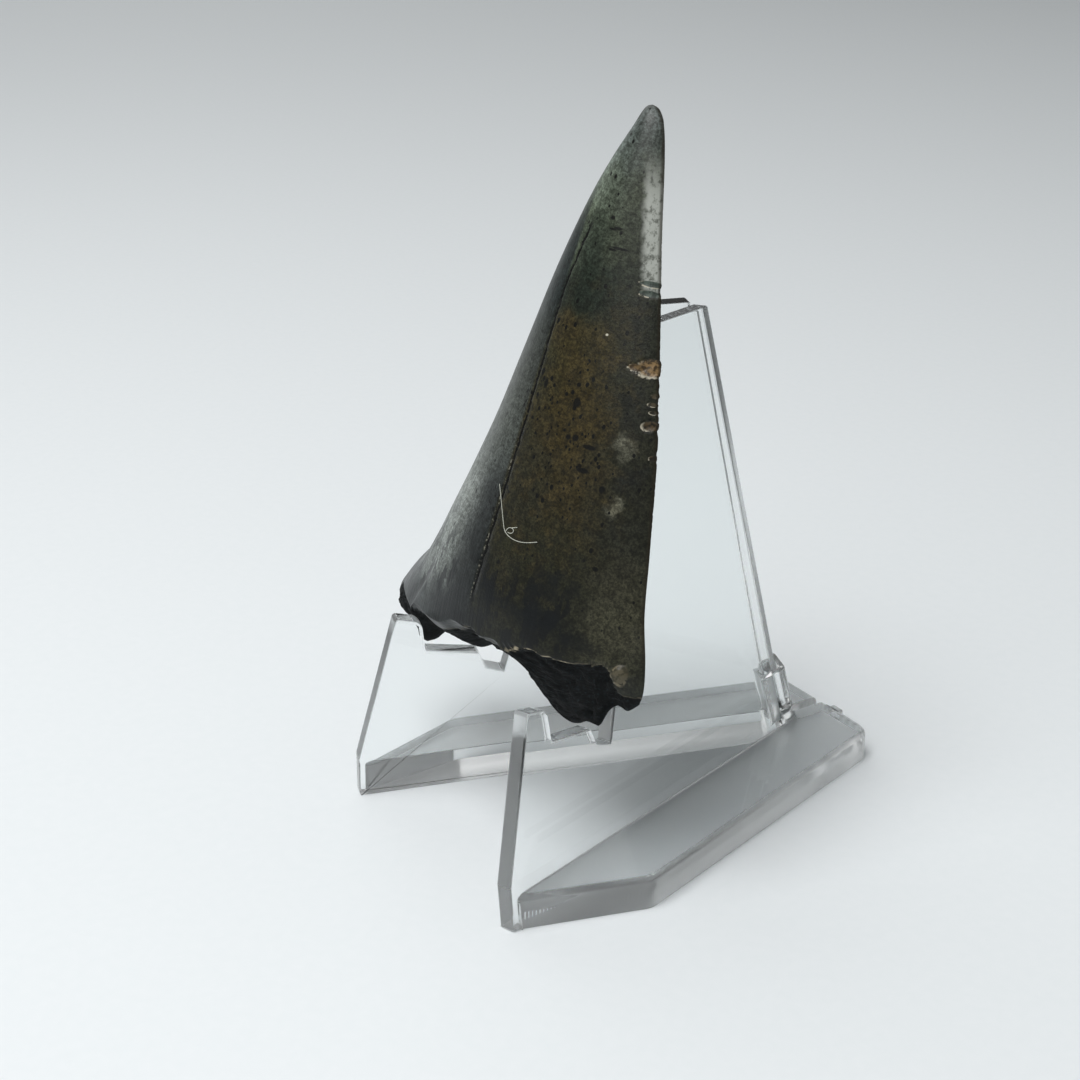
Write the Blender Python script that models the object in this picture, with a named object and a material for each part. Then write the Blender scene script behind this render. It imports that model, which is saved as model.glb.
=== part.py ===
# Fossil great white shark tooth on its clear two-leaf easel.
# Metres, +Z up. The origin is on the floor under the middle of the whole object's box.
# The tooth's lingual face looks towards -Y, and the leaves of the easel open towards -Y.

import bmesh
import bpy
import math
from mathutils import Matrix, Vector, noise

MM = 0.001

# Hinge axis: its place on the floor, and how far it leans forwards
HINGE_X = 3.64 * MM
HINGE_Y = 16.98 * MM
SPINE_LEAN = math.radians(16.8)

# Easel leaf: a flat plate in profile, u forwards along the floor and z upwards
FLOOR_ANGLE = math.radians(16.6)
LEAF_ANGLE = math.atan(math.tan(FLOOR_ANGLE) / math.cos(SPINE_LEAN))
MEETING_BEHIND = 1.5 * MM
PLATE_THICKNESS = 1.5 * MM
PLATE_HEIGHT = 45.1 * MM
LEAF_REACH = 42.5 * MM
ARM_HEIGHT = 17.9 * MM
REAR_TOP_U = 0.6 * MM
REAR_FOOT_U = 2.5 * MM
SEAT_FRONT = (32.2 * MM, 14.4 * MM)
SEAT_BACK = (27.6 * MM, 13.6 * MM)
CORNER_RADIUS = 0.8 * MM

# Easel foot: a flange on the outer side of each plate
FOOT_HEIGHT = 3.0 * MM
FOOT_WIDTH = 7.7 * MM
FOOT_REAR_Y = 4.8 * MM
FOOT_REAR_GAP = 0.45 * MM
FOOT_CORNER_RADIUS = 1.6 * MM
FOOT_TOP_RADIUS = 0.6 * MM
STUB_WIDTH = 1.4 * MM
STUB_REACH = 0.6 * MM
STUB_X = 1.3 * MM

# Hinge: a pin on the right leaf stands in a square knuckle on the left leaf, over a round boss
PIN_RADIUS = 0.85 * MM
BORE_RADIUS = 1.15 * MM
BOSS_RADIUS = 1.7 * MM
KNUCKLE_HALF = 1.6 * MM
KNUCKLE_CORNER_RADIUS = 0.6 * MM
KNUCKLE_ROOM_RADIUS = 2.35 * MM
KNUCKLE_BOTTOM = 4.3 * MM
KNUCKLE_TOP = 9.0 * MM
CLEARANCE = 0.3 * MM
ROUND_SEGMENTS = 24

# Tooth, in its own frame: w across, d out of the back plane, h up from the seat
TOOTH_LEAN = math.radians(12.4)
TOOTH_SEAT_Y = -26.7 * MM
TOOTH_SEAT_Z = 13.15 * MM
CROWN_HEIGHT = 49.6 * MM
EDGE_DEPTH = 1.3 * MM
BACK_BULGE = 0.7 * MM
LEFT_ROUNDNESS = 2.1
RIGHT_ROUNDNESS = 1.8
ROWS = 66
COLUMNS = 30
ROOT_ROWS = 16
ROOT_BAND = 8.0 * MM
TIP_CROWDING = 1.3
ROOT_RECESS = 0.45 * MM
ROOT_ROUGHNESS = 0.42 * MM

# Pairs of height and place across, in millimetres, up the two cutting edges
RIGHT_EDGE = [(4.0, 13.7), (5.3, 13.9), (7.5, 13.4), (11.0, 12.1), (16.0, 11.1), (24.0, 9.4),
              (32.0, 7.0), (40.0, 4.5), (45.0, 3.1), (47.4, 2.3), (48.5, 1.75), (49.2, 1.15), (49.5, 0.6),
              (49.6, -0.1)]
LEFT_EDGE = [(-1.0, -24.5), (0.5, -24.3), (2.0, -23.3), (4.0, -21.7), (6.5, -19.4), (9.0, -17.8), (11.0, -16.8),
             (20.0, -12.8), (28.0, -10.1), (36.0, -7.5), (42.0, -4.9), (45.5, -3.0), (48.2, -1.3),
             (49.1, -0.85), (49.5, -0.5), (49.6, -0.1)]
# Pairs of height and thickness of the lingual bulge, in millimetres
BULGE = [(0.0, 7.0), (8.0, 7.2), (16.0, 6.3), (26.0, 5.0), (36.0, 3.6), (44.0, 2.3), (48.2, 1.2),
         (49.2, 0.7), (49.5, 0.35), (49.6, 0.0)]
# Pairs of place across, from -1 to 1, and height of the root's lower outline, in millimetres
ROOT_OUTLINE = [(-1.0, -0.3), (-0.93, -1.1), (-0.8, -1.0), (-0.7, -0.8), (-0.58, -0.9), (-0.5, -1.8),
                (-0.42, 0.2), (-0.25, 0.4), (-0.1, 0.7), (0.0, 1.7), (0.2, 1.7), (0.33, 2.0),
                (0.42, 0.2), (0.5, -0.6), (0.6, -0.7), (0.66, -0.3), (0.7, 0.2), (0.76, 0.4), (0.79, 0.6),
                (0.82, 2.0), (0.87, 3.0), (0.94, 3.1), (1.0, 4.1)]
# Pairs of place across and depth of the root's lower ridge, in millimetres
ROOT_RIDGE = [(-1.0, 1.3), (-0.7, 3.2), (-0.3, 3.0), (0.1, 2.4), (0.5, 1.8), (1.0, 1.3)]
# Pairs of place across and height of the lower rim of the enamel, in millimetres
ENAMEL_RIM = [(-1.0, 0.2), (-0.9, 1.6), (-0.75, 2.5), (-0.45, 1.8), (-0.2, 2.6), (0.14, 5.0), (0.28, 4.2),
              (0.48, 5.6), (0.68, 5.7), (0.85, 6.4), (0.92, 4.6), (1.0, 4.7)]
# Chips of the right cutting edge: height, half length and depth, in millimetres
CHIPS = [(35.9, 0.9, 0.2), (29.9, 1.2, 0.3), (27.3, 1.0, 0.25), (25.6, 0.8, 0.25), (23.4, 0.7, 0.2)]


def clear_scene():
    for item in list(bpy.data.objects):
        bpy.data.objects.remove(item, do_unlink=True)


def material(name, colour, roughness, transmission=0.0, ior=1.49):
    made = bpy.data.materials.new(name)
    made.use_nodes = True
    shader = made.node_tree.nodes["Principled BSDF"]
    shader.inputs["Base Color"].default_value = (*colour, 1.0)
    shader.inputs["Roughness"].default_value = roughness
    shader.inputs["Metallic"].default_value = 0.0
    shader.inputs["Transmission Weight"].default_value = transmission
    shader.inputs["IOR"].default_value = ior
    made.diffuse_color = (*colour, 1.0)
    return made


def object_from(name, mesh_maker, finish=None):
    mesh = bpy.data.meshes.new(name)
    mesh_maker.normal_update()
    mesh_maker.to_mesh(mesh)
    mesh_maker.free()
    made = bpy.data.objects.new(name, mesh)
    bpy.context.scene.collection.objects.link(made)
    if finish:
        mesh.materials.append(finish)
    return made


def hide_cutter(cutter):
    cutter.hide_render = True
    cutter.display_type = "WIRE"


def boolean(target, tool, operation):
    modifier = target.modifiers.new(tool.name, "BOOLEAN")
    modifier.operation = operation
    modifier.solver = "EXACT"
    modifier.object = tool
    hide_cutter(tool)


def arc_corner(before, corner, after, radius, steps=4):
    """Points of a round corner between two straight runs of an outline."""
    corner = Vector(corner)
    to_before = (Vector(before) - corner).normalized()
    to_after = (Vector(after) - corner).normalized()
    half = to_before.angle(to_after) / 2.0
    reach = radius / math.tan(half)
    start = corner + to_before * reach
    end = corner + to_after * reach
    centre = corner + (to_before + to_after).normalized() * (radius / math.sin(half))
    points = []
    for step in range(steps + 1):
        mixed = start.lerp(end, step / steps) - centre
        points.append(centre + mixed.normalized() * radius)
    return [tuple(point) for point in points]


def prism(name, outline, to_point, low, high, finish=None):
    """A flat outline carried straight from low to high; to_point gives its place in space."""
    work = bmesh.new()
    bottom = [work.verts.new(to_point(a, b, low)) for a, b in outline]
    face = work.faces.new(bottom)
    moved = bmesh.ops.extrude_face_region(work, geom=[face])
    top = [item for item in moved["geom"] if isinstance(item, bmesh.types.BMVert)]
    shift = to_point(*outline[0], high) - to_point(*outline[0], low)
    bmesh.ops.translate(work, verts=top, vec=shift)
    bmesh.ops.recalc_face_normals(work, faces=work.faces)
    return object_from(name, work, finish)


def leaf_turn(side):
    """Turn from a leaf's own frame, x forwards from the spine and z up it, to the easel's frame."""
    lean = Matrix.Rotation(SPINE_LEAN, 3, "X")
    fold = Matrix.Rotation(-math.pi / 2.0 + side * LEAF_ANGLE, 3, "Z")
    return lean @ fold


def plate_point(side, u, z, v):
    """A point of a plate: u along the floor, z up the leaning spine, v out of the plate."""
    forwards = Vector((side * math.sin(FLOOR_ANGLE), -math.cos(FLOOR_ANGLE), 0.0))
    upwards = Vector((0.0, -math.tan(SPINE_LEAN), 1.0))
    outwards = forwards.cross(upwards).normalized() * -side
    meeting = Vector((0.0, MEETING_BEHIND, 0.0))
    return leaf_turn(side).inverted() @ (meeting + forwards * u + upwards * z + outwards * v)


def foot_point(side, x, y, z):
    """A point of a foot, from the easel's level frame with x outwards, in the leaf's own frame."""
    return leaf_turn(side).inverted() @ Vector((side * x, y, z))


def round_foot_top(foot, side):
    """Rounds the foot's upper edge all along its outer, front and rear walls."""
    work = bmesh.new()
    work.from_mesh(foot.data)
    chosen = []
    for edge in work.edges:
        ends = [leaf_turn(side) @ vertex.co for vertex in edge.verts]
        on_top = min(end.z for end in ends) > FOOT_HEIGHT - 0.01 * MM
        across = [abs(end.x) * math.cos(FLOOR_ANGLE) + (end.y - MEETING_BEHIND) * math.sin(FLOOR_ANGLE)
                  for end in ends]
        if on_top and max(across) > 2.0 * MM:
            chosen.append(edge)
    bmesh.ops.bevel(work, geom=chosen, offset=FOOT_TOP_RADIUS, offset_type="OFFSET", segments=4, profile=0.5,
                    affect="EDGES", clamp_overlap=True)
    bmesh.ops.recalc_face_normals(work, faces=work.faces)
    work.to_mesh(foot.data)
    work.free()


def spine_cylinder(name, radius, low, high):
    """A round form along the hinge axis, which is every leaf's own z."""
    work = bmesh.new()
    bmesh.ops.create_cone(work, cap_ends=True, segments=ROUND_SEGMENTS, radius1=radius, radius2=radius,
                          depth=high - low, matrix=Matrix.Translation((0, 0, (low + high) / 2.0)))
    return object_from(name, work)


def knuckle_form():
    """The square knuckle round the hinge axis, with rounded corners, in the left leaf's own frame."""
    half = KNUCKLE_HALF
    corners = [(-half, -half), (half, -half), (half, half), (-half, half)]
    outline = []
    for number, corner in enumerate(corners):
        outline += arc_corner(corners[number - 1], corner, corners[(number + 1) % 4], KNUCKLE_CORNER_RADIUS)
    return prism("knuckle_form", outline, lambda a, b, height: Vector((a, b, height)), KNUCKLE_BOTTOM, KNUCKLE_TOP)


def plate_outline():
    """The plate's side view: arm in front, seat behind it, backrest rising over the seat."""
    bend = (LEAF_REACH - 1.1 * MM, 3.9 * MM)
    arm_front = (33.9 * MM, ARM_HEIGHT)
    arm_back = (31.7 * MM, ARM_HEIGHT - 0.6 * MM)
    groove = (27.4 * MM, 12.0 * MM)
    rest_foot = (25.9 * MM, 11.4 * MM)
    rest_front = (7.6 * MM, PLATE_HEIGHT)
    rest_rear = (REAR_TOP_U, PLATE_HEIGHT)
    outline = [(LEAF_REACH, 0.0), bend]
    outline += arc_corner(bend, arm_front, arm_back, 0.4 * MM, 3)
    outline += arc_corner(arm_front, arm_back, SEAT_FRONT, CORNER_RADIUS)
    outline += [SEAT_FRONT, SEAT_BACK, groove, rest_foot]
    outline += arc_corner(rest_foot, rest_front, rest_rear, 0.4 * MM, 3)
    outline += [rest_rear, (REAR_FOOT_U, 0.0)]
    return outline


def floor_place(u, w):
    """Level x and y of a place u along a leaf's floor line and w outwards from it."""
    x = math.sin(FLOOR_ANGLE) * u + math.cos(FLOOR_ANGLE) * w
    y = MEETING_BEHIND - math.cos(FLOOR_ANGLE) * u + math.sin(FLOOR_ANGLE) * w
    return (x, y)


def foot_outline():
    """The foot's plan in the easel's level frame, for the right leaf."""
    front = floor_place(LEAF_REACH - 0.3 * MM, 0.0)
    tip = floor_place(41.7 * MM, 1.5 * MM)
    shoulder = floor_place(32.3 * MM, FOOT_WIDTH)
    rear_corner = (floor_place(-1.0 * MM, FOOT_WIDTH)[0], FOOT_REAR_Y)
    rear_inner = (FOOT_REAR_GAP, FOOT_REAR_Y)
    inner = (FOOT_REAR_GAP, floor_place(FOOT_REAR_GAP / math.sin(FLOOR_ANGLE), 0.0)[1])
    outline = [front, tip]
    outline += arc_corner(tip, shoulder, rear_corner, 2.0 * MM)
    outline += arc_corner(shoulder, rear_corner, rear_inner, FOOT_CORNER_RADIUS)
    outline += [rear_inner, inner]
    return outline


def easel_leaf(name, side, finish):
    """One leaf of the easel. Side is 1 for the right leaf and -1 for its mirror image."""
    def upright(u, z, v):
        return plate_point(side, u, z, v)

    def level(x, y, z):
        return foot_point(side, x, y, z)

    leaf = prism(name, plate_outline(), upright, 0.0, PLATE_THICKNESS, finish)
    foot = prism(name + "_foot_form", foot_outline(), level, 0.0, FOOT_HEIGHT)
    round_foot_top(foot, side)
    boolean(leaf, foot, "UNION")
    return leaf, foot


def left_leaf(finish):
    leaf, foot = easel_leaf("stand_left", -1, finish)
    boss_room = spine_cylinder("boss_room", BOSS_RADIUS + CLEARANCE, -2.0 * MM, KNUCKLE_BOTTOM)
    knuckle = knuckle_form()
    bore = spine_cylinder("bore_room", BORE_RADIUS, 1.0 * MM, KNUCKLE_TOP + 0.5 * MM)
    boolean(leaf, boss_room, "DIFFERENCE")
    boolean(leaf, knuckle, "UNION")
    boolean(leaf, bore, "DIFFERENCE")
    return leaf, [foot, boss_room, knuckle, bore]


def right_leaf(finish):
    def right_level(x, y, z):
        return foot_point(1, x, y, z)

    leaf, foot = easel_leaf("stand_right", 1, finish)
    knuckle_room = spine_cylinder("knuckle_room", KNUCKLE_ROOM_RADIUS, KNUCKLE_BOTTOM - CLEARANCE,
                                  KNUCKLE_TOP + CLEARANCE)
    boss = spine_cylinder("boss_form", BOSS_RADIUS, -2.0 * MM, KNUCKLE_BOTTOM - CLEARANCE)
    pin = spine_cylinder("pin_form", PIN_RADIUS, 0.9 * MM, KNUCKLE_TOP + 0.2 * MM)
    half = 10.0 * MM
    square = [(-half, -half), (half, -half), (half, half), (-half, half)]
    below_floor = prism("below_floor", square, right_level, -6.0 * MM, 0.0)
    stub_rear = FOOT_REAR_Y + STUB_REACH
    stub_plan = [(STUB_X, FOOT_REAR_Y - 0.5 * MM), (STUB_X + STUB_WIDTH, FOOT_REAR_Y - 0.5 * MM),
                 (STUB_X + STUB_WIDTH, stub_rear), (STUB_X, stub_rear)]
    stub = prism("moulding_stub_form", stub_plan, right_level, 0.3 * MM, FOOT_HEIGHT - 0.2 * MM)
    boolean(boss, below_floor, "DIFFERENCE")
    boolean(leaf, knuckle_room, "DIFFERENCE")
    boolean(leaf, boss, "UNION")
    boolean(leaf, pin, "UNION")
    boolean(leaf, stub, "UNION")
    return leaf, [foot, knuckle_room, boss, pin, below_floor, stub]


def smooth_value(pairs, place):
    """A smooth curve through pairs of place and value, read at one place."""
    if place <= pairs[0][0]:
        return pairs[0][1]
    if place >= pairs[-1][0]:
        return pairs[-1][1]
    last = len(pairs) - 1
    number = max(i for i in range(last) if pairs[i][0] <= place)
    x0, y0 = pairs[number]
    x1, y1 = pairs[number + 1]
    before = pairs[max(number - 1, 0)]
    after = pairs[min(number + 2, last)]
    slope0 = (y1 - before[1]) / (x1 - before[0])
    slope1 = (after[1] - y0) / (after[0] - x0)
    span = x1 - x0
    t = (place - x0) / span
    rise = (2 * t ** 3 - 3 * t ** 2 + 1) * y0 + (3 * t ** 2 - 2 * t ** 3) * y1
    return rise + span * ((t ** 3 - 2 * t ** 2 + t) * slope0 + (t ** 3 - t ** 2) * slope1)


def chip_loss(height):
    """How far the right cutting edge is chipped back at a height, in millimetres."""
    loss = 0.0
    for centre, half_length, depth in CHIPS:
        away = (height - centre) / half_length
        if abs(away) < 1.0:
            loss += depth * (1.0 - away * away)
    return loss


def row_share(row):
    """Share of the crown's height at a row, with rows closer together in the root."""
    root_share = ROOT_BAND / CROWN_HEIGHT
    if row <= ROOT_ROWS:
        return root_share * row / ROOT_ROWS
    up = (row - ROOT_ROWS) / (ROWS - ROOT_ROWS)
    return root_share + (1.0 - root_share) * (1.0 - (1.0 - up) ** TIP_CROWDING)


def surface_height(across, share):
    """Height in millimetres of a point at a place across and a share of the crown's height."""
    return CROWN_HEIGHT / MM * share + smooth_value(ROOT_OUTLINE, across) * (1.0 - share) ** 6


def tooth_point(across, share, front):
    """A point of the tooth's front or back face, in the tooth's own frame."""
    height = surface_height(across, share)
    left_height = surface_height(-1.0, share)
    right_height = surface_height(1.0, share)
    left = smooth_value(LEFT_EDGE, left_height)
    right = smooth_value(RIGHT_EDGE, right_height) - chip_loss(right_height)
    w = left + (right - left) * (across + 1.0) / 2.0

    bulge = smooth_value(BULGE, height)
    if front:
        roundness = LEFT_ROUNDNESS if across < 0.0 else RIGHT_ROUNDNESS
        depth = EDGE_DEPTH / MM + bulge * (1.0 - abs(across) ** roundness) ** 0.85
    else:
        hollow = min(1.0, math.sqrt(max(CROWN_HEIGHT / MM - height, 0.0)))
        depth = (EDGE_DEPTH - BACK_BULGE * hollow * (1.0 - across * across)) / MM
    lower = smooth_value(ROOT_OUTLINE, across)
    above = height - lower
    rim = smooth_value(ENAMEL_RIM, across)
    rounding = max(rim - lower, 3.0) if front else 2.5
    ridge = smooth_value(ROOT_RIDGE, across)
    if above < rounding:
        depth = ridge + (depth - ridge) * max(above / rounding, 0.0) ** (0.7 if front else 0.5)
    inside = (1.0 - abs(across) ** 8) * min(1.0, above / 0.8)
    root = min(1.0, max(0.0, (rim - (0.0 if front else 1.5) - height) / 0.5)) * inside
    rough = noise.noise(Vector((w * 0.9, depth * 0.9, height * 0.9)))
    rough += 0.5 * noise.noise(Vector((w * 2.1, depth * 2.1 + 7.0, height * 2.1)))
    move = root * (rough * ROOT_ROUGHNESS - ROOT_RECESS) / MM
    depth += move if front else -0.4 * move
    return Vector((w * MM, -max(depth, 0.3) * MM, height * MM))


def tooth(finish):
    """Two curved sheets, the lingual face and the labial face, joined all round their rim."""
    work = bmesh.new()
    places = [math.sin(math.pi * (column / COLUMNS - 0.5)) for column in range(COLUMNS + 1)]
    grids = []
    for front in (True, False):
        grid = []
        for row in range(ROWS + 1):
            share = row_share(row)
            grid.append([work.verts.new(tooth_point(place, share, front)) for place in places])
        grids.append(grid)
    front_grid, back_grid = grids
    for row in range(ROWS):
        for column in range(COLUMNS):
            a, b = front_grid[row][column], front_grid[row][column + 1]
            c, d = front_grid[row + 1][column + 1], front_grid[row + 1][column]
            work.faces.new((a, b, c, d))
            a, b = back_grid[row][column], back_grid[row][column + 1]
            c, d = back_grid[row + 1][column + 1], back_grid[row + 1][column]
            work.faces.new((d, c, b, a))
    bmesh.ops.remove_doubles(work, verts=work.verts, dist=0.02 * MM)
    bmesh.ops.recalc_face_normals(work, faces=work.faces)
    made = object_from("tooth", work, finish)
    made.data.shade_smooth()
    made.data.set_sharp_from_angle(angle=math.radians(50.0))
    return made


def empty(name, location, parent=None):
    made = bpy.data.objects.new(name, None)
    bpy.context.scene.collection.objects.link(made)
    made.location = location
    made.parent = parent
    return made


def build():
    clear_scene()
    clear_plastic = material("moulded_clear_plastic", (0.88, 0.91, 0.91), 0.06, 1.0, 1.49)
    fossil_enamel = material("polished_fossil_enamel", (0.062, 0.055, 0.042), 0.30)

    floor_under_hinge = empty("floor_under_hinge", (HINGE_X, HINGE_Y, 0.0))
    spine = empty("hinge_axis", (0.0, 0.0, 0.0), floor_under_hinge)
    spine.rotation_euler = (SPINE_LEAN, 0.0, 0.0)
    for side, maker in ((-1, left_leaf), (1, right_leaf)):
        leaf, tools = maker(clear_plastic)
        leaf.parent = spine
        leaf.rotation_euler = (0.0, 0.0, -math.pi / 2.0 + side * LEAF_ANGLE)
        for tool in tools:
            tool.parent = leaf

    fossil = tooth(fossil_enamel)
    fossil.parent = floor_under_hinge
    fossil.location = (0.0, TOOTH_SEAT_Y, TOOTH_SEAT_Z)
    fossil.rotation_euler = (-TOOTH_LEAN, 0.0, 0.0)


build()
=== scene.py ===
# %% [markdown]
# # Fossil shark tooth on a clear easel
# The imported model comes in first, as a fixed frame. Each visible piece is then modelled in its place,
# rides on the body that carries it, and stands in for the plain solid of that name.

# %% Load the frame
import bmesh
import bpy
import math
from mathutils import Euler, Matrix, Vector, noise


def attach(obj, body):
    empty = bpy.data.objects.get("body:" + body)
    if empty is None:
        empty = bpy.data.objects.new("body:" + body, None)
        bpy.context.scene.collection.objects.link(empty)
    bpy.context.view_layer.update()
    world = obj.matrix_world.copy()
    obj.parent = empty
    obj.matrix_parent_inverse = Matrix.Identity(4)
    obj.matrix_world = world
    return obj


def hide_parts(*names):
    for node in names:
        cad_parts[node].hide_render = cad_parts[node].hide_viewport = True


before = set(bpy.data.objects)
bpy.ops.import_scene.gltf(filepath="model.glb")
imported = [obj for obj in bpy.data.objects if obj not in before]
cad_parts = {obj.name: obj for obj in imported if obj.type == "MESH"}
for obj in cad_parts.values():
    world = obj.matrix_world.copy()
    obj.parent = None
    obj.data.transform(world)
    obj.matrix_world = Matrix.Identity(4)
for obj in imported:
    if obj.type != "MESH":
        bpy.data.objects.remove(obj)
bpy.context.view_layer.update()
MM = 0.001

# %% [markdown]
# ## Small helpers
# Colours are written as the hex values that a paint program shows. Blender's sockets want linear
# light, so one function turns them. One more function adds a shader node with its settings and links,
# which keeps each material short enough to read as a recipe.

# %% Colour and node helpers
def linear(hex_colour):
    """An sRGB hex colour as linear red, green, blue and alpha."""
    parts = [int(hex_colour[i:i + 2], 16) / 255.0 for i in (1, 3, 5)]
    turned = [c / 12.92 if c <= 0.04045 else ((c + 0.055) / 1.055) ** 2.4 for c in parts]
    return (*turned, 1.0)


def add(tree, kind, settings=None, values=None, links=None):
    """Adds one node. Settings are its properties, values its unlinked sockets, links what feeds it."""
    made = tree.nodes.new(kind)
    for name, value in (settings or {}).items():
        setattr(made, name, value)
    for name, value in (values or {}).items():
        made.inputs[name].default_value = value
    for name, source in (links or {}).items():
        tree.links.new(source, made.inputs[name])
    return made


def new_material(name):
    """An empty material with its tree, its Principled shader and its output."""
    made = bpy.data.materials.new(name)
    made.use_nodes = True
    tree = made.node_tree
    tree.nodes.clear()
    shader = add(tree, "ShaderNodeBsdfPrincipled")
    add(tree, "ShaderNodeOutputMaterial", links={"Surface": shader.outputs["BSDF"]})
    return made, tree, shader


def math_node(tree, operation, first, second=0.5, third=0.0, clamp=False):
    """A Math node. Each argument is a number or a socket."""
    made = add(tree, "ShaderNodeMath", {"operation": operation, "use_clamp": clamp})
    for place, value in enumerate((first, second, third)):
        if isinstance(value, bpy.types.NodeSocket):
            tree.links.new(value, made.inputs[place])
        else:
            made.inputs[place].default_value = value
    return made.outputs[0]


def between(tree, value, low, high):
    """0 below low, 1 above high, and a soft step from one to the other."""
    made = add(tree, "ShaderNodeMapRange", {"interpolation_type": "SMOOTHSTEP", "clamp": True},
               {"From Min": low, "From Max": high}, {"Value": value})
    return made.outputs["Result"]


def mix_colour(tree, share, first, second, blend="MIX"):
    """Two colours mixed by a share. Each colour is a hex string or a socket."""
    made = add(tree, "ShaderNodeMix", {"data_type": "RGBA", "blend_type": blend, "clamp_factor": True})
    for socket, value in ((made.inputs[0], share), (made.inputs[6], first), (made.inputs[7], second)):
        if isinstance(value, str):
            socket.default_value = linear(value)
        elif isinstance(value, bpy.types.NodeSocket):
            tree.links.new(value, socket)
        else:
            socket.default_value = value
    return made.outputs[2]


def select_only(thing):
    bpy.ops.object.select_all(action="DESELECT")
    thing.select_set(True)
    bpy.context.view_layer.objects.active = thing


print("helpers ready")

# %% [markdown]
# ## Camera
# The photo was taken from the front right, a little above the tooth, with a lens of about 62 mm on a
# 36 mm wide frame. The place and the turn were worked out from the corners of the two easel leaves,
# which mirror each other, so the same few numbers put the camera here.

# %% Camera at the photo's angle
HINGE_ON_FLOOR = Vector((3.64, 16.98, 0.0)) * MM
LEAVES_MEET = HINGE_ON_FLOOR + Vector((0.0, 1.5, 0.0)) * MM
CAMERA_FROM_MEETING = Vector((119.36, -106.21, 86.89)) * MM
CAMERA_AZIMUTH = math.radians(57.18)
CAMERA_PITCH = math.radians(22.87)
CAMERA_ROLL = math.radians(0.29)

camera_data = bpy.data.cameras.new("photo_camera")
camera_data.lens = 61.67
camera_data.sensor_width = 36.0
camera_data.clip_start = 0.005
camera = bpy.data.objects.new("photo_camera", camera_data)
bpy.context.scene.collection.objects.link(camera)
turn = (Matrix.Rotation(CAMERA_AZIMUTH, 4, "Z")
        @ Matrix.Rotation(math.pi / 2.0 - CAMERA_PITCH, 4, "X")
        @ Matrix.Rotation(CAMERA_ROLL, 4, "Z"))
camera.matrix_world = Matrix.Translation(LEAVES_MEET + CAMERA_FROM_MEETING) @ turn
bpy.context.scene.camera = camera
bpy.context.scene.view_settings.view_transform = "Standard"

# Clear plastic throws light back and forth inside itself, so a path may turn more often than usual.
light_paths = bpy.context.scene.cycles
light_paths.max_bounces = 18
light_paths.glossy_bounces = 12
light_paths.transmission_bounces = 14
print("camera at", [round(v, 4) for v in camera.matrix_world.translation])

# %% [markdown]
# ## Floor and light
# The photo is a soft, bright product shot on a pale sweep: the floor is near white close to the
# camera and falls to a light grey far behind. One big soft light from the left and above, a broad
# one overhead and a weak pale world give that. The clear plastic shows only by what it bends and
# reflects, so the world is a little darker than the lights, or the edges of the easel would vanish.

# %% Floor
def pale_board():
    """Matt painted board: almost no gloss, a trace of grain."""
    made, tree, shader = new_material("matt_painted_board")
    place = add(tree, "ShaderNodeTexCoord")
    grain = add(tree, "ShaderNodeTexNoise", values={"Scale": 900.0, "Detail": 2.0},
                links={"Vector": place.outputs["Object"]})
    colour = mix_colour(tree, grain.outputs["Fac"], "#e2e7e9", "#e6eaec")
    tree.links.new(colour, shader.inputs["Base Color"])
    shader.inputs["Roughness"].default_value = 0.75
    shader.inputs["Specular IOR Level"].default_value = 0.25
    return made


FLOOR_GAP = 0.03 * MM
bpy.ops.object.select_all(action="DESELECT")
bpy.ops.mesh.primitive_plane_add(size=8.0, location=(0.0, 0.0, -FLOOR_GAP))
floor = bpy.context.object
floor.name = "floor"
floor.data.materials.append(pale_board())
print("floor is", floor.dimensions.x, "m wide")


# %% Lights and world
def soft_light(name, place, aim, size, power, colour="#ffffff"):
    data = bpy.data.lights.new(name, "AREA")
    data.shape = "SQUARE"
    data.size = size
    data.energy = power
    data.color = linear(colour)[:3]
    made = bpy.data.objects.new(name, data)
    bpy.context.scene.collection.objects.link(made)
    made.location = place
    made.rotation_euler = (Vector(aim) - Vector(place)).to_track_quat("-Z", "Y").to_euler()
    return made


LIT_PLACE = (0.0, 0.0, 0.02)
soft_light("left_softbox", (-0.70, 0.10, 0.60), LIT_PLACE, 0.80, 1.7)
soft_light("top_front_softbox", (0.0, -0.20, 0.50), LIT_PLACE, 0.30, 1.55)
soft_light("front_softbox", (0.10, -0.30, 0.40), LIT_PLACE, 0.35, 1.0)

world = bpy.data.worlds.new("pale_room")
world.use_nodes = True
bpy.context.scene.world = world
world.node_tree.nodes["Background"].inputs["Color"].default_value = linear("#f6f8f8")
world.node_tree.nodes["Background"].inputs["Strength"].default_value = 0.25
print("lights ready")

# %% [markdown]
# ## The tooth's shape
# The tooth is one piece: a glossy crown with two cutting edges, a flat back and a bulging inner face,
# and below it what is left of a rough, broken root. It could be sculpted, but its form follows a few
# curves, so each face starts as a fine grid whose rows run up the tooth. The same curves as in the
# solid give each row its two edges and its thickness, and fine detail is added on top.

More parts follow.
